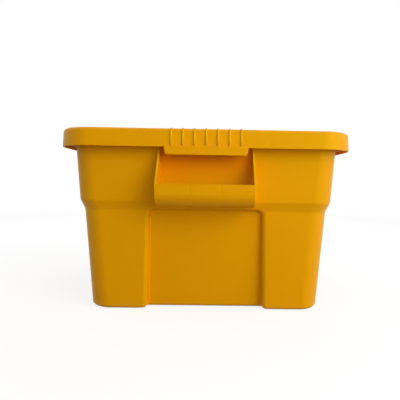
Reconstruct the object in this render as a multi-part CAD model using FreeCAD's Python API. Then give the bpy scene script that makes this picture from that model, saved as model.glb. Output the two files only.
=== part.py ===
import FreeCAD, Part
import math
import os

# Small grit and salt bin: an injection-moulded tub and its lift-off lid, in millimetres.
# X runs across the bin, Y along it and Z up. The front is the end at -Y, and the origin lies in the
# middle of the bin on the plane that its feet stand on.

V = FreeCAD.Vector
QUARTERS = ((1, 1), (-1, 1), (-1, -1), (1, -1))

# Tub: sizes on the outside of its wall at the mouth
tub_width = 367.4
tub_length = 437.4
tub_height = 247.5
wall = 2.5
base_thickness = 2.8
upper_draft = 3.6
lower_draft = 3.9
corner_radius = 29.0
base_chamfer = 3.5

# Shoulder: the wall steps inwards above the corner posts
shoulder_height = 152.9
shoulder_drop = 12.3
shoulder_step = 5.2
shoulder_radius = 12.0

# Recessed panels between the corner posts
post_width = 82.4
recess_top = 143.0
recess_depth_top = 8.0
recess_depth_base = 14.0
recess_slope = 8.0
recess_corner = 7.0
recess_mouth_radius = 7.0
recess_floor_radius = 1.5
recess_flare = 3.2

# Foot pads under the corner posts
pad_height = 1.2
pad_size = 64.0
pad_inset = 6.0

# Rim with its turned-down lip
rim_reach = 11.4
rim_thickness = 2.5
lip_depth = 18.0
lip_thickness = 2.4
lip_draft = 3.3
rim_edge_chamfer = 1.5

# Hand pocket at each end
pocket_depth = 35.7
pocket_width = 131.0
pocket_top = 176.9
pocket_floor = 146.7
pocket_wall = 2.6
pocket_curl = 19.0
pocket_draft = 1.5
web_thickness = 2.6
web_draft = 2.0
web_head = 4.0
web_head_drop = 22.5
web_edge_radius = 1.0
inner_rib_spread = 40.0
inner_rib_thickness = 1.6
inner_rib_top = 166.0

# Lid
skirt_clearance = 1.2
skirt_thickness = 2.4
skirt_drop = 24.7
skirt_draft = 3.3
lid_thickness = 2.5
lid_edge_radius = 4.8
panel_sink = 8.0
plug_clearance = 1.2
plug_thickness = 2.4
plug_draft = 5.0
band_edge_chamfer = 1.5

# Stiffening ribs under the lid's panel
panel_rib_height = 5.0
panel_rib_thickness = 1.6
panel_rib_margin = 12.0
long_ribs = 3
cross_ribs = 5

# Pull tab at each end of the lid
tab_width = 111.8
tab_narrowing = 4.2
tab_drop = 10.8
tab_rise = 1.7
tab_proud = 2.3
tab_thickness = 2.4
tab_corner = 5.0
tab_edge_chamfer = 0.7

# Upright ribs above each tab
tab_ribs = 7
tab_rib_pitch = 15.4
tab_rib_thickness = 2.4
tab_rib_proud = 1.6
tab_rib_rise = 1.0
tab_rib_run = 14.0

post_top = shoulder_height - shoulder_drop
lid_top = tub_height + lid_thickness
skirt_end = lid_top - skirt_drop
lid_panel = lid_top - panel_sink
beyond = 20.0
round_steps = 4


def slope(angle):
    return math.tan(math.radians(angle))


def polygon(points):
    """Closed wire through points."""
    return Part.makePolygon(points + points[:1])


def closed_solid(faces):
    """Solid inside a closed set of faces."""
    return Part.Solid(Part.Shell([face.reversed() for face in faces]))


def arc_centre(level, quarter):
    """Middle of the corner arc in one quarter of a rounded rectangle."""
    half_x, half_y, radius, z = level
    side_x, side_y = QUARTERS[quarter]
    return V(side_x * (half_x - radius), side_y * (half_y - radius), z)


def turned(direction, quarter):
    return FreeCAD.Rotation(V(0, 0, 1), quarter * 90).multVec(direction)


def corner_arc(level, quarter):
    circle = Part.Circle(arc_centre(level, quarter), V(0, 0, 1), level[2])
    start = math.radians(quarter * 90)
    return Part.ArcOfCircle(circle, start, start + math.radians(90)).toShape()


def flat_edge(level, quarter):
    """Ends of the straight side that follows a corner."""
    out = turned(V(0, level[2], 0), quarter)
    return [arc_centre(level, quarter) + out, arc_centre(level, (quarter + 1) % 4) + out]


def rounded_face(level):
    edges = []
    for quarter in range(4):
        edges.append(corner_arc(level, quarter))
        edges.append(Part.LineSegment(*flat_edge(level, quarter)).toShape())
    return Part.Face(Part.Wire(edges))


def corner_face(low, high, quarter):
    """Corner between two levels: a cone round one upright axis, or a leaning cylinder of one radius."""
    centre = arc_centre(low, quarter)
    shift = arc_centre(high, quarter) - centre
    if abs(low[2] - high[2]) < 1e-6:
        return corner_arc(low, quarter).extrude(shift)
    start = turned(V(1, 0, 0), quarter)
    line = Part.LineSegment(centre + start * low[2], centre + shift + start * high[2])
    return line.toShape().revolve(centre, V(0, 0, 1), 90)


def tapered_block(levels):
    """Solid through rounded rectangles, each given as half width, half length, corner radius and height."""
    faces = [rounded_face(levels[0]), rounded_face(levels[-1])]
    for low, high in zip(levels, levels[1:]):
        for quarter in range(4):
            faces.append(corner_face(low, high, quarter))
            faces.append(Part.Face(polygon(flat_edge(low, quarter) + flat_edge(high, quarter)[::-1])))
    return closed_solid(faces)


def round_over(radius):
    """Steps of a rounded edge, from the upright side to the flat one: how far in and how far down."""
    turns = [math.radians(90 * step / round_steps) for step in range(round_steps + 1)]
    return [(radius * (1 - math.cos(turn)), radius * (1 - math.sin(turn))) for turn in turns]


def prism_across(profile, half_width):
    """Solid of a profile in the YZ plane, as wide on both sides of the middle."""
    face = Part.Face(polygon([V(-half_width, y, z) for y, z in profile]))
    return face.extrude(V(2 * half_width, 0, 0))


def edges_where(shape, test):
    """Edges whose box passes the test."""
    return [edge for edge in shape.Edges if test(edge.BoundBox)]


def edges_at_height(shape, z):
    return edges_where(shape, lambda box: abs(box.ZMin - z) < 0.01 and abs(box.ZMax - z) < 0.01)


def lies_on(edge, skins):
    """Whether the middle of an edge lies on one of the skins."""
    middle = Part.Vertex(edge.valueAt((edge.FirstParameter + edge.LastParameter) / 2))
    return any(middle.distToShape(skin)[0] < 0.001 for skin in skins)


def both_ends(shape):
    """A shape at the front end, and its copy at the back end."""
    return [shape, shape.rotated(V(0, 0, 0), V(0, 0, 1), 180)]


def wall_inset(z):
    """How far the outside of the tub's wall has drawn in at height z, seen from the mouth."""
    upper = (tub_height - max(z, shoulder_height)) * slope(upper_draft)
    if z >= shoulder_height:
        return upper
    if z >= post_top:
        return upper + shoulder_step * (shoulder_height - z) / shoulder_drop
    return upper + shoulder_step + (post_top - z) * slope(lower_draft)


def wall_level(z, inwards):
    """Rounded rectangle of the tub's wall at height z, moved inwards from its outside."""
    inset = wall_inset(z) + inwards
    return [tub_width / 2 - inset, tub_length / 2 - inset, corner_radius - inwards, z]


def wall_form(inwards, floor, top):
    """Solid that fills the tub's wall, out to a depth inwards of its outside."""
    return tapered_block([wall_level(z, inwards) for z in (floor, post_top, shoulder_height, top)])


def recess_form(axis_to_wall, inwards):
    """Tapered block that presses a recessed panel into the wall at -Y, moved inwards from the outside."""
    base_at = axis_to_wall[0] - recess_depth_base - inwards
    top_at = axis_to_wall[1] - recess_depth_top - inwards
    lean = math.atan((top_at - base_at) / (post_top - pad_height))
    height = (recess_top - pad_height) / math.cos(lean)
    half_width = axis_to_wall[2] - post_width
    below = -beyond
    reach = recess_depth_base + shoulder_step + inwards + beyond

    def outline(out):
        spread = (out - recess_depth_base - inwards) * slope(recess_slope)
        spread += inwards / math.cos(math.radians(recess_slope))
        top = height + spread
        foot = half_width + recess_flare * (0.5 - below / height) + spread
        head = half_width + recess_flare * (0.5 - top / height) + spread
        return [V(-foot, below, out), V(foot, below, out), V(head, top, out), V(-head, top, out)]

    low = outline(0.0)
    high = outline(reach)
    faces = [Part.Face(polygon(low)), Part.Face(polygon(high))]
    for index in range(4):
        following = (index + 1) % 4
        faces.append(Part.Face(polygon([low[index], low[following], high[following], high[index]])))
    block = closed_solid(faces)
    corners = edges_where(block, lambda box: box.YMin > 0 and box.ZLength > 1)
    block = block.makeFillet(recess_corner + inwards, corners)
    panel = edges_where(block, lambda box: box.ZMax < 0.01 and box.YMax > 0)
    block = block.makeFillet(recess_floor_radius + inwards, panel)
    up = V(0, -math.sin(lean), math.cos(lean))
    out = V(0, -math.cos(lean), -math.sin(lean))
    turn = FreeCAD.Rotation(V(1, 0, 0), up, out, "ZXY")
    block.Placement = FreeCAD.Placement(V(0, -base_at, pad_height), turn)
    return block


def recesses(inwards):
    """Blocks of the recessed panels at both ends and on both long sides."""
    foot_x, foot_y = wall_level(pad_height, 0)[:2]
    head_x, head_y = wall_level(post_top, 0)[:2]
    end = recess_form((foot_y, head_y, foot_x), inwards)
    side = recess_form((foot_x, head_x, foot_y), inwards)
    side = side.rotated(V(0, 0, 0), V(0, 0, 1), 90)
    return both_ends(end) + both_ends(side)


def outer_form():
    """The tub's outside as one solid, with its rounded shoulder and panels pressed in between the posts."""
    plain = wall_form(0, pad_height, tub_height)
    plain = plain.makeFillet(shoulder_radius, edges_at_height(plain, post_top))
    plain = plain.makeFillet(shoulder_radius, edges_at_height(plain, shoulder_height))
    blocks = recesses(0)
    form = plain.cut(blocks)
    skins = [block.Shells[0] for block in blocks]
    rising = edges_where(form, lambda box: box.ZMax > pad_height + 0.1 and box.ZMax < shoulder_height)
    mouths = [edge for edge in rising if lies_on(edge, plain.Shells) and lies_on(edge, skins)]
    form = form.makeFillet(recess_mouth_radius, mouths)
    return form.makeChamfer(base_chamfer, edges_at_height(form, pad_height))


def inner_form():
    """The space inside the tub, one wall thickness in from its outside."""
    return wall_form(wall, pad_height + base_thickness, tub_height + 1.0).cut(recesses(wall))


def rim():
    """Land that stands out from the mouth and turns down into a lip."""
    half_x, half_y, corner, top = wall_level(tub_height, -rim_reach)
    spread = lip_depth * slope(lip_draft)
    low = [half_x + spread, half_y + spread, corner + spread, tub_height - lip_depth]
    block = tapered_block([low, [half_x, half_y, corner, top]])
    block = block.makeChamfer(rim_edge_chamfer, edges_at_height(block, top))
    narrowing = lip_thickness - rim_thickness * slope(lip_draft)
    low_in = [value - lip_thickness for value in low[:3]] + low[3:]
    high_in = [half_x - narrowing, half_y - narrowing, corner - narrowing, tub_height - rim_thickness]
    return block.cut(tapered_block([low_in, high_in]))


def wall_out(z):
    """Distance from the middle of the bin to the outside of the end wall at height z."""
    return tub_length / 2 - wall_inset(z)


def pocket_front(z, inwards):
    """Distance from the middle of the bin to the front of the hand pocket at height z."""
    return wall_out(pocket_top) + pocket_depth - (pocket_top - z) * slope(pocket_draft) - inwards


def scoop(inwards, half_width, top_points):
    """Solid of the pocket's side view: a floor, the curl, the front, and a top through top_points."""
    curl = pocket_curl - inwards
    floor = pocket_floor + inwards
    lean = math.radians(pocket_draft)
    centre_z = floor + curl
    centre_y = pocket_front(centre_z, inwards) - curl / math.cos(lean)
    halfway = math.radians(-45) - lean / 2

    def at(y, z):
        return V(-half_width, -y, z)

    face_end = at(centre_y + curl * math.cos(lean), centre_z - curl * math.sin(lean))
    middle = at(centre_y + curl * math.cos(halfway), centre_z + curl * math.sin(halfway))
    floor_end = at(centre_y, floor)
    corners = [floor_end, at(top_points[0][0], floor)] + [at(*point) for point in top_points] + [face_end]
    edges = [Part.LineSegment(start, end).toShape() for start, end in zip(corners, corners[1:])]
    edges.append(Part.Arc(face_end, middle, floor_end).toShape())
    return Part.Face(Part.Wire(edges)).extrude(V(2 * half_width, 0, 0))


def pocket_footprint(inset):
    """Upright prism between the pocket's webs, which stand closer together at the wall."""
    root = wall_out(pocket_top) - beyond
    front = pocket_front(pocket_top, 0)
    narrow = pocket_width / 2 - inset - (front - root) * slope(web_draft)
    wide = pocket_width / 2 - inset + beyond * slope(web_draft)
    floor = pocket_floor - beyond
    plan = [V(-narrow, -root, floor), V(narrow, -root, floor)]
    plan += [V(wide, -front - beyond, floor), V(-wide, -front - beyond, floor)]
    return Part.Face(polygon(plan)).extrude(V(0, 0, lid_top + beyond - floor))


def hand_pocket():
    """Scoop that stands out from the front wall between two sloping webs, with two ribs in its bottom."""
    half = pocket_width / 2
    root = wall_out(pocket_top) - beyond
    land = tub_height - rim_thickness / 2
    head_height = tub_height - web_head_drop
    head = wall_out(head_height) + web_head
    front = pocket_front(pocket_top, 0)
    above = tub_height + beyond
    outside = scoop(0, half, [(root, land), (head, land), (head, head_height), (front, pocket_top)])
    outside = outside.common(pocket_footprint(0))
    rising = edges_where(outside, lambda box: box.ZMin > pocket_top - 1 and box.ZLength > 1)
    slanting = [edge for edge in rising if edge.BoundBox.ZMax < land - 1]
    outside = outside.makeFillet(web_edge_radius, slanting)
    inner_front = pocket_front(pocket_top, pocket_wall)
    bay = scoop(pocket_wall, half, [(root, above), (inner_front, above)])
    over = [(pocket_wall - inner_front, pocket_top), (pocket_wall - inner_front, above)]
    over += [(-front - beyond, above), (-front - beyond, pocket_top)]
    bay = bay.fuse(prism_across(over, half)).common(pocket_footprint(web_thickness))
    rib_face = [(-root, pocket_floor), (-inner_front - 1, pocket_floor)]
    rib_face += [(-inner_front - 1, inner_rib_top), (-root, inner_rib_top)]
    rib = prism_across(rib_face, inner_rib_thickness / 2).common(outside)
    ribs = [rib.translated(V(side * inner_rib_spread / 2, 0, 0)) for side in (-1, 1)]
    return outside.cut(bay).fuse(ribs)


def foot_pads():
    """Flat pads under the four corner posts."""
    half_x, half_y, corner, base = wall_level(pad_height, pad_inset)
    inner_x = half_x - pad_size
    inner_y = half_y - pad_size
    pad = Part.makeBox(pad_size, pad_size, 2 * pad_height, V(inner_x, inner_y, 0))
    upright = edges_where(pad, lambda box: box.ZLength > 1 and box.XMin > inner_x + 1)
    outer = [edge for edge in upright if edge.BoundBox.YMin > inner_y + 1]
    pad = pad.makeFillet(corner, outer)
    pair = [pad, pad.mirror(V(0, 0, 0), V(1, 0, 0))]
    return pair + [half.mirror(V(0, 0, 0), V(0, 1, 0)) for half in pair]


def tub():
    body = outer_form().fuse([rim()] + both_ends(hand_pocket()) + foot_pads())
    return body.cut(inner_form()).removeSplitter()


def skirt_level(z, outwards):
    """Rounded rectangle of the skirt at height z, moved outwards from its outside."""
    half_x, half_y, corner, mouth = wall_level(tub_height, -rim_reach - skirt_clearance - skirt_thickness)
    spread = (mouth - z) * slope(skirt_draft) + outwards
    return [half_x + spread, half_y + spread, corner + spread, z]


def plug_level(z, inwards):
    """Rounded rectangle of the plug that drops into the tub's mouth, at height z."""
    half_x, half_y, corner, mouth = wall_level(tub_height, wall + plug_clearance)
    inset = (mouth - z) * slope(plug_draft) + inwards
    return [half_x - inset, half_y - inset, corner - inset, z]


def lid_block(outwards, rise):
    """The lid as a full block with its top edge rounded in short steps, grown outwards and upwards."""
    levels = [skirt_level(skirt_end, outwards)]
    for inset, drop in round_over(lid_edge_radius + rise):
        levels.append(skirt_level(lid_top + rise - drop, outwards - inset))
    return tapered_block(levels)


def tab_rib_set():
    """Thin upright ribs over the skirt above one tab, wrapped over the lid's top edge."""
    front = skirt_level(skirt_end, 0)[1]
    crest = skirt_level(lid_top, 0)[1]
    low = skirt_end + tab_rise - tab_rib_rise
    inner = tub_height + lid_thickness / 2
    end = tab_rib_run - crest
    profile = [(-front - beyond, low), (-front - beyond, lid_top + beyond)]
    profile += [(end - beyond, lid_top + beyond), (end + lid_thickness / 2, inner)]
    profile += [(skirt_thickness / 2 - crest, inner), (skirt_thickness / 2 - front, low)]
    rib = prism_across(profile, tab_rib_thickness / 2).common(lid_block(tab_rib_proud, tab_rib_rise))
    first = -(tab_ribs - 1) / 2 * tab_rib_pitch
    return [rib.translated(V(first + index * tab_rib_pitch, 0, 0)) for index in range(tab_ribs)]


def pull_tab():
    """Plate that hangs from the skirt's edge at the front, with rounded corners and a thickened root."""
    back = tab_proud - tab_thickness
    high = tab_width / 2
    low = high - tab_narrowing / 2
    outline = [V(-low, -tab_drop, back), V(low, -tab_drop, back)]
    outline += [V(high, tab_rise, back), V(-high, tab_rise, back)]
    plate = Part.Face(polygon(outline)).extrude(V(0, 0, tab_thickness))
    plate = plate.makeFillet(tab_corner, edges_where(plate, lambda box: box.ZLength > 1 and box.YMax < 0))
    plate = plate.makeChamfer(tab_edge_chamfer, edges_where(plate, lambda box: box.ZMin > tab_proud - 0.01))
    root = [V(-low, 0, -skirt_thickness), V(-low, 0, back + 0.1), V(-low, -skirt_thickness, back + 0.1)]
    tab = plate.fuse(Part.Face(polygon(root)).extrude(V(2 * low, 0, 0)))
    lean = math.radians(skirt_draft)
    up = V(0, math.sin(lean), math.cos(lean))
    out = V(0, -math.cos(lean), math.sin(lean))
    foot = V(0, -skirt_level(skirt_end, 0)[1], skirt_end)
    tab.Placement = FreeCAD.Placement(foot, FreeCAD.Rotation(V(1, 0, 0), up, out, "ZXY"))
    return tab


def panel_ribs():
    """Grid of stiffening ribs under the lid's panel."""
    underside = lid_panel - lid_thickness
    half_x, half_y = plug_level(underside, panel_rib_margin)[:2]
    low = underside - panel_rib_height
    height = panel_rib_height + lid_thickness / 2
    half = panel_rib_thickness / 2
    ribs = []
    for index in range(long_ribs):
        x = half_x * (2 * (index + 1) / (long_ribs + 1) - 1)
        ribs.append(Part.makeBox(panel_rib_thickness, 2 * half_y, height, V(x - half, -half_y, low)))
    for index in range(cross_ribs):
        y = half_y * (2 * (index + 1) / (cross_ribs + 1) - 1)
        ribs.append(Part.makeBox(2 * half_x, panel_rib_thickness, height, V(-half_x, y - half, low)))
    return ribs


def band_edge(body):
    """Edges round the inside of the lid's top band."""
    half_x, half_y = plug_level(lid_top, plug_thickness - 0.1)[:2]
    ring = edges_at_height(body, lid_top)
    return [edge for edge in ring if edge.BoundBox.XMax < half_x and edge.BoundBox.XMin > -half_x
            and edge.BoundBox.YMax < half_y and edge.BoundBox.YMin > -half_y]


def lid():
    ribs = [copy for rib in tab_rib_set() for copy in both_ends(rib)]
    inside = -skirt_thickness
    hollow = tapered_block([skirt_level(skirt_end - 1, inside), skirt_level(tub_height, inside)])
    underside = lid_panel - lid_thickness
    plug = tapered_block([plug_level(underside, 0), plug_level(tub_height + lid_thickness / 2, 0)])
    tray = tapered_block([plug_level(lid_panel, plug_thickness), plug_level(lid_top + 5, plug_thickness)])
    body = lid_block(0, 0).fuse(ribs).cut(hollow).fuse(plug).cut(tray)
    body = body.makeChamfer(band_edge_chamfer, band_edge(body))
    return body.fuse(both_ends(pull_tab()) + panel_ribs())


os.makedirs("parts", exist_ok=True)
tub().Solids[0].exportStep("parts/tub.step")
lid().Solids[0].exportStep("parts/lid.step")
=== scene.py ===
import bmesh
import bpy
import math
from mathutils import Matrix, Vector


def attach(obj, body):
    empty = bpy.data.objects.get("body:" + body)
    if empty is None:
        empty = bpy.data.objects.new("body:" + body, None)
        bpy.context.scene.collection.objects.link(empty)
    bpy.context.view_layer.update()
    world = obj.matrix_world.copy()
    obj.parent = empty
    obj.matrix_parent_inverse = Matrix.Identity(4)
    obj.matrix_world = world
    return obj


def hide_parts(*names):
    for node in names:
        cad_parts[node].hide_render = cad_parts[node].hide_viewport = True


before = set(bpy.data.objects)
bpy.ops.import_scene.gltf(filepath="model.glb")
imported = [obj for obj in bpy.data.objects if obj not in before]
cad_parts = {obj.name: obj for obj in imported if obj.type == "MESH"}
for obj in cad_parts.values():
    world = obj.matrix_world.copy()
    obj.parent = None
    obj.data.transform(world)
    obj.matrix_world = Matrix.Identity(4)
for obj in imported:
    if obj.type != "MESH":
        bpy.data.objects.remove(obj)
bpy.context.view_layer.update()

# The view. The camera stands a little over half a metre in front of the pocket, at seven tenths of the bin's
# height, and a touch right of its middle. The picture is cut out of a wider one, so the lens is shifted a little.
picture = 400
focal_pixels = 419.06
axis_pixel_x = 221.83
eye = Vector((0.01119, -0.78558, 0.17352))
yaw = 0.0190
pitch = 0.0307
roll = 0.0163
ahead = Vector((math.sin(yaw) * math.cos(pitch), math.cos(yaw) * math.cos(pitch), -math.sin(pitch)))
level_right = Vector((math.cos(yaw), -math.sin(yaw), 0))
level_up = level_right.cross(ahead)
right = level_right * math.cos(roll) + level_up * math.sin(roll)
up = level_up * math.cos(roll) - level_right * math.sin(roll)
lens = bpy.data.cameras.new("front_view")
lens.sensor_width = 36
lens.lens = focal_pixels / picture * lens.sensor_width
lens.shift_x = (picture / 2 - axis_pixel_x) / picture
camera = bpy.data.objects.new("front_view", lens)
camera.matrix_world = Matrix.Translation(eye) @ Matrix((right, up, -ahead)).transposed().to_4x4()
bpy.context.collection.objects.link(camera)
bpy.context.scene.camera = camera
bpy.context.scene.view_settings.view_transform = "Standard"

# The tub. One injection moulding in yellow polypropylene, with its turned-down rim, its pressed-in walls and a
# hand pocket at each end. Every edge of the steel mould is slightly broken, the thin ones that hands meet are
# rounded more, and the wall has a fine spark-eroded grain.
edge_break = 0.0006
hand_edge = 0.0012
smallest_break = 0.0002
share_of_side = 0.45
shortest_run = 0.00125
sharp_from = math.radians(60)
flat_within = math.radians(0.6)
smooth_within = math.radians(35)
merge_distance = 0.00002
pigment_deep = (0.878, 0.352, 0.0008, 1)
pigment_light = (0.914, 0.383, 0.0012, 1)
scuff_tone = (0.86, 0.46, 0.045, 1)
# Painted highlight: a lighter yellow laid along edges that catch the light.
painted_highlight_tone = (0.93, 0.52, 0.006, 1)
# Painted shade: a deeper orange laid on the pocket's back wall.
painted_shade_tone = (0.93, 0.25, 0.0004, 1)
sheen_tone = (0.55, 1.0, 0.03, 1)
scuff_cover = 0.55
least_roughness = 0.40
grain_height = 0.000028
wave_height = 0.000030
scuff_depth = 0.000020
# Strength of the scuffs at the feet and of the painted highlights on edges and rib crests.
scuff_and_highlight_strength = 0.8


class Wire:
    """An output of a shader node. Arithmetic on it adds Math nodes to the same material."""

    def __init__(self, tree, socket=None):
        self.tree = tree
        self.socket = socket

    def node(self, kind, settings, inputs, output=0):
        made = self.tree.nodes.new("ShaderNode" + kind)
        for name, value in settings.items():
            setattr(made, name, value)
        for name, value in inputs.items():
            if isinstance(value, Wire):
                self.tree.links.new(value.socket, made.inputs[name])
            else:
                made.inputs[name].default_value = value
        return Wire(self.tree, made.outputs[output] if made.outputs else None)

    def math(self, operation, *others):
        return self.node("Math", {"operation": operation}, dict(enumerate((self, *others))))

    def over(self, limit):
        return self.math("GREATER_THAN", limit)

    def under(self, limit):
        return self.math("LESS_THAN", limit)

    def mixed(self, first, second):
        """Colour that goes from the first to the second as this goes from 0 to 1."""
        return self.node("Mix", {"data_type": "RGBA"}, {0: self, 6: first, 7: second}, 2)

    def __add__(self, other):
        return self.math("ADD", other)

    def __sub__(self, other):
        return self.math("SUBTRACT", other)

    def __mul__(self, other):
        return self.math("MULTIPLY", other)

    def __truediv__(self, other):
        return self.math("DIVIDE", other)

    def __rsub__(self, other):
        return self.node("Math", {"operation": "SUBTRACT"}, {0: other, 1: self})

    __radd__ = __add__
    __rmul__ = __mul__


def clamp(wire):
    return wire.math("MAXIMUM", 0.0).math("MINIMUM", 1.0)


def ramp(wire, start, end):
    """0 where the wire is at or before the start, and 1 where it is at or past the end."""
    return clamp((wire - start) / (end - start))


def dip(offset, half_width):
    """Smooth hollow of depth 1 along a line, from how far off that line a point lies."""
    across = offset / half_width
    inside = (1 - across * across).math("MAXIMUM", 0.0)
    return inside * inside


class Plastic:
    """A moulded polypropylene under way: its drift of colour, its wear, its painted highlights and shade, and its
    grain.
    """

    def __init__(self, name):
        self.material = bpy.data.materials.new(name)
        self.material.use_nodes = True
        self.material.node_tree.nodes.clear()
        self.start = Wire(self.material.node_tree)
        self.place = self.start.node("TexCoord", {}, {}, "Object")
        self.x = self.start.node("SeparateXYZ", {}, {0: self.place}, "X")
        self.y = self.start.node("SeparateXYZ", {}, {0: self.place}, "Y")
        self.z = self.start.node("SeparateXYZ", {}, {0: self.place}, "Z")

    def noise(self, scale, detail):
        return self.start.node("TexNoise", {}, {"Vector": self.place, "Scale": scale, "Detail": detail}, "Fac")

    def finish(self, scuffed, highlighted, hollows, painted_shade=None):
        """Material with scuffs, painted highlights, sink marks and painted shade where those wires say."""
        drift = ramp(self.noise(scale=11.0, detail=3.0), 0.2727, 0.7273)
        speckle = self.noise(scale=520.0, detail=2.0)
        scratches = ramp(self.noise(scale=170.0, detail=4.0), 0.52, 0.6311)
        worn = clamp(scuffed * scratches)
        colour = clamp(drift * 0.7 + speckle * 0.3).mixed(pigment_deep, pigment_light)
        if painted_shade:
            # Painted shade, mixed in where its wire says.
            colour = painted_shade.mixed(colour, painted_shade_tone)
        # Painted highlight, mixed in where its wire says.
        colour = highlighted.mixed(colour, painted_highlight_tone)
        colour = (worn * scuff_cover).mixed(colour, scuff_tone)
        haze = self.noise(scale=23.0, detail=3.0)
        roughness = least_roughness + haze * 0.10 + speckle * 0.04 + worn * 0.12
        grain = self.noise(scale=1150.0, detail=2.0) * grain_height
        waves = self.noise(scale=19.0, detail=1.0) * wave_height
        height = grain + waves - hollows - worn * scuff_depth
        bump = self.start.node("Bump", {}, {"Strength": 1.0, "Distance": 1.0, "Height": height}, "Normal")
        gloss = {"Roughness": roughness, "Specular IOR Level": 0.5, "Specular Tint": sheen_tone}
        shader = self.start.node("BsdfPrincipled", {}, {"Base Color": colour, **gloss, "Normal": bump})
        self.start.node("OutputMaterial", {}, {"Surface": shader})
        return self.material


def room_beside(edge):
    """Widest rounding that an edge takes without passing the middle of a side that meets one of its ends."""
    run = (edge.verts[1].co - edge.verts[0].co).normalized()
    room = hand_edge
    for corner in edge.verts:
        for side in corner.link_edges:
            reach = side.other_vert(corner).co - corner.co
            across = reach.cross(run).length
            if across > reach.length / 2:
                room = min(room, share_of_side * across)
    return room


def moulding(node, name, thin_edges):
    """Copy of a moulding's solid with its triangles joined up and every sharp edge rounded by its own radius."""
    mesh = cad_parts[node].data.copy()
    mesh.name = name
    piece = bpy.data.objects.new(name, mesh)
    bpy.context.collection.objects.link(piece)
    bpy.ops.object.select_all(action="DESELECT")
    piece.select_set(True)
    bpy.context.view_layer.objects.active = piece
    bpy.ops.object.mode_set(mode="EDIT")
    bpy.ops.mesh.select_all(action="SELECT")
    bpy.ops.mesh.remove_doubles(threshold=merge_distance)
    bpy.ops.mesh.dissolve_limited(angle_limit=flat_within)
    bpy.ops.object.mode_set(mode="OBJECT")
    shape = bmesh.new()
    shape.from_mesh(mesh)
    radius = shape.edges.layers.float.new("bevel_weight_edge")
    for edge in shape.edges:
        if edge.is_convex and edge.calc_face_angle(0) > sharp_from and edge.calc_length() > shortest_run:
            wanted = hand_edge if thin_edges(edge.verts[0].co, edge.verts[1].co) else edge_break
            width = min(wanted, room_beside(edge))
            edge[radius] = width / hand_edge if width > smallest_break else 0
    shape.to_mesh(mesh)
    shape.free()
    rounding = piece.modifiers.new("edges", "BEVEL")
    rounding.limit_method = "WEIGHT"
    rounding.width = hand_edge
    rounding.segments = 3
    rounding.use_clamp_overlap = False
    bpy.ops.object.modifier_apply(modifier="edges")
    bpy.ops.object.shade_smooth_by_angle(angle=smooth_within)
    weights = piece.modifiers.new("shading", "WEIGHTED_NORMAL")
    weights.keep_sharp = True
    bpy.ops.object.modifier_apply(modifier="shading")
    piece.data.materials.clear()
    return piece


pocket_outside = 0.0665
pocket_from = 0.2212
pocket_heights = (0.146, 0.2252)


def pocket_edge(start, end):
    """Whether an edge runs round a hand pocket's webs and front, which are only a wall thick."""
    low, high = pocket_heights
    return all(abs(point.x) < pocket_outside and abs(point.y) > pocket_from and low < point.z < high
               for point in (start, end))


tub = moulding("tub", "tub_moulding", pocket_edge)
tub_plastic = Plastic("tub_plastic")
off_middle = tub_plastic.x.math("ABSOLUTE")
outwards = tub_plastic.y.math("ABSOLUTE")
height = tub_plastic.z

# Wear and painted highlights on the tub. Its feet are scuffed by the ground, and the slanting fronts of the webs
# and the ends of the pocket's front carry a painted highlight, a lighter yellow along their rounded edges.
feet_scuffs = (0.010, 0.002)
web_foot = (0.24996, 0.1769)
web_lean = math.radians(30.8)
web_middle = 0.0639
web_half_width = 0.0045
web_highlight = (-0.0014, -0.0005)
web_highlight_bottom = 0.1763
side_highlight = (0.0642, 0.0649)
side_highlight_from = 0.2440
pocket_top = 0.1775
feet = ramp(height, *feet_scuffs)
web_front = (outwards - web_foot[0]) * math.cos(web_lean) + (height - web_foot[1]) * math.sin(web_lean)
on_web = ramp(web_front, *web_highlight) * dip(off_middle - web_middle, web_half_width) * height.over(web_highlight_bottom)
on_side = ramp(off_middle, *side_highlight) * outwards.over(side_highlight_from) * height.under(pocket_top)
# Painted highlight on the webs' slanting fronts and the pocket front's ends.
painted_edge_highlights = clamp(on_web + on_side)

# Sink marks on the pocket's front, over its two inner ribs, and painted shade on the wall at its back: a deeper
# orange, strongest towards the top, where the lid's skirt and the webs shade it.
sink_from_middle = 0.020
sink_half_width = 0.0026
sink_depth = 0.00016
pocket_face = 0.2290
wall_plane = 0.2187
wall_plane_height = 0.2475
wall_draft = math.radians(3.6)
half_wall = 0.00125
pocket_inside = 0.0614
shade_heights = (0.178, 0.208)
sink_marks = dip(off_middle - sink_from_middle, sink_half_width) * sink_depth
sink_marks = sink_marks * outwards.over(pocket_face) * height.under(pocket_top)
off_wall = (outwards - wall_plane - (height - wall_plane_height) * math.tan(wall_draft)).math("ABSOLUTE")
pocket_back = off_wall.under(half_wall) * off_middle.under(pocket_inside)
# Painted shade on the pocket's back wall, stronger towards its top.
pocket_painted_shade = pocket_back * ramp(height, *shade_heights)
tub.data.materials.append(tub_plastic.finish(feet * scuff_and_highlight_strength, painted_edge_highlights * scuff_and_highlight_strength, sink_marks, pocket_painted_shade))
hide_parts("tub")
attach(tub, "tub")

# The lid. A second moulding in the same polypropylene, which drops over the rim and is pulled off by the tab at
# each end. Its sunk panel shows faint hollows over the stiffening ribs underneath, where thicker plastic shrank
# more, and the crests of its grip ribs carry a painted highlight, a lighter yellow.
panel_level = 0.2424
rib_columns = (0.0, 0.0837)
rib_rows = (0.0, 0.0674, 0.1349)
panel_sink_half_width = 0.0035
panel_sink_depth = 0.00010
skirt_scuffs = (0.2255, 0.2215)
skirt_scuffing = 0.25
skirt_face = (0.23488, 0.2270)
skirt_draft = math.radians(3.3)
grip_half_width = 0.048
grip_from = 0.2205
grip_bottom = 0.2269
crest_highlight = (0.0009, 0.0014)
crest_top_highlight = (0.2504, 0.2508)
straight_within = 0.00001


def grip_crest(start, end):
    """Whether an edge runs along the crest of one of the grip ribs above a tab."""
    on_ribs = all(abs(point.x) < grip_half_width and abs(point.y) > grip_from and point.z > grip_bottom
                  for point in (start, end))
    return on_ribs and abs(start.x - end.x) < straight_within


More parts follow.
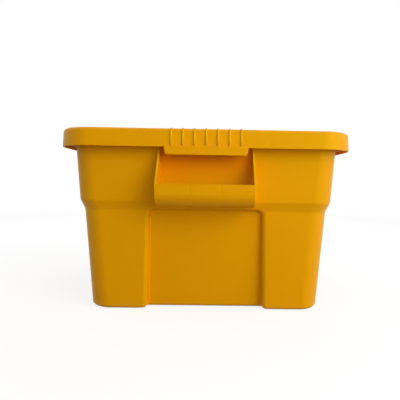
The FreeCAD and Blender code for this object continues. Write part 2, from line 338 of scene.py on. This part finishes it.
lid = moulding("lid", "lid_moulding", grip_crest)
lid_plastic = Plastic("lid_plastic")
off_centre_x = lid_plastic.x.math("ABSOLUTE")
off_centre_y = lid_plastic.y.math("ABSOLUTE")
level = lid_plastic.z
rib_lines = [dip(off_centre_x - column, panel_sink_half_width) for column in rib_columns]
rib_lines += [dip(off_centre_y - row, panel_sink_half_width) for row in rib_rows]
deepest = rib_lines[0]
for line in rib_lines[1:]:
    deepest = deepest.math("MAXIMUM", line)
panel_hollows = deepest * level.under(panel_level) * panel_sink_depth
skirt_edge = ramp(level, *skirt_scuffs) * skirt_scuffing
proud = off_centre_y - skirt_face[0] + (level - skirt_face[1]) * math.tan(skirt_draft)
# Painted highlight along the crests of the grip ribs and along their tops.
crests = ramp(proud, *crest_highlight) * level.over(skirt_face[1])
crests = crests.math("MAXIMUM", ramp(level, *crest_top_highlight))
on_grip = crests * off_centre_x.under(grip_half_width)
lid.data.materials.append(lid_plastic.finish(skirt_edge, on_grip * scuff_and_highlight_strength, panel_hollows))
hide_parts("lid")
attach(lid, "lid")

# The studio. A pale floor that the camera sees as white, apart from the bin's own soft shadow, in white
# surroundings. Far from the bin the floor is plain white, so that no horizon shows.
floor_size = 8
floor_grey = (0.3, 0.3, 0.3, 1)
white = (1, 1, 1, 1)
floor_glow = 0.78
shadow_reach = (1.2, 2.4)
fill = 0.42
bpy.ops.mesh.primitive_plane_add(size=floor_size, location=(0, 0, 0))
floor = bpy.context.object
floor.name = "floor"


def seen(start):
    """1 for what the camera sees, straight or in a reflection, and 0 for the light that a surface throws on."""
    straight = start.node("LightPath", {}, {}, "Is Camera Ray")
    mirrored = start.node("LightPath", {}, {}, "Is Glossy Ray")
    through = start.node("LightPath", {}, {}, "Is Transmission Ray")
    return clamp(straight + mirrored + through)


ground = bpy.data.materials.new("pale_floor")
ground.use_nodes = True
ground.node_tree.nodes.clear()
paint = Wire(ground.node_tree)
matt = paint.node("BsdfDiffuse", {}, {"Color": floor_grey})
glow = paint.node("Emission", {}, {"Color": white, "Strength": floor_glow})
near_white = paint.node("AddShader", {}, {0: matt, 1: glow})
far_white = paint.node("Emission", {}, {"Color": white, "Strength": 1.0})
spot = paint.node("TexCoord", {}, {}, "Object")
from_bin = paint.node("VectorMath", {"operation": "LENGTH"}, {0: spot}, "Value")
shown = paint.node("MixShader", {}, {0: ramp(from_bin, *shadow_reach), 1: near_white, 2: far_white})
paint.node("OutputMaterial", {}, {"Surface": paint.node("MixShader", {}, {0: seen(paint), 1: matt, 2: shown})})
floor.data.materials.append(ground)

world = bpy.data.worlds.new("studio")
bpy.context.scene.world = world
world.use_nodes = True
world.node_tree.nodes.clear()
air = Wire(world.node_tree)
sky = air.node("Background", {}, {"Color": white, "Strength": fill + seen(air) * (1 - fill)})
air.node("OutputWorld", {}, {"Surface": sky})

# The lamps. A large softbox stands at the right, in front of the bin and a little above it, with a low one beside
# the camera. Two weak ones light the back and the left, so that the bin reads from every side.
lamp_distance = 1.7
lamp_centre = Vector((0, 0, 0.12))
lamp_aim = Vector((0, -0.1, 0.12))


def softbox(name, bearing, height_angle, size, power):
    """Square lamp, by its bearing from the front towards the right and its angle above the floor, in degrees."""
    lamp = bpy.data.lights.new(name, "AREA")
    lamp.size = size
    lamp.energy = power
    turn = math.radians(bearing)
    rise = math.radians(height_angle)
    away = Vector((math.cos(rise) * math.sin(turn), -math.cos(rise) * math.cos(turn), math.sin(rise)))
    holder = bpy.data.objects.new(name, lamp)
    holder.location = lamp_centre + away * lamp_distance
    holder.rotation_euler = (lamp_aim - holder.location).to_track_quat("-Z", "Y").to_euler()
    bpy.context.collection.objects.link(holder)


softbox("key", bearing=48, height_angle=22, size=1.4, power=12.3)
softbox("low_front", bearing=30, height_angle=15, size=1.2, power=6.3)
softbox("back", bearing=180, height_angle=40, size=1.2, power=8.0)
softbox("left", bearing=-110, height_angle=30, size=1.2, power=2.0)
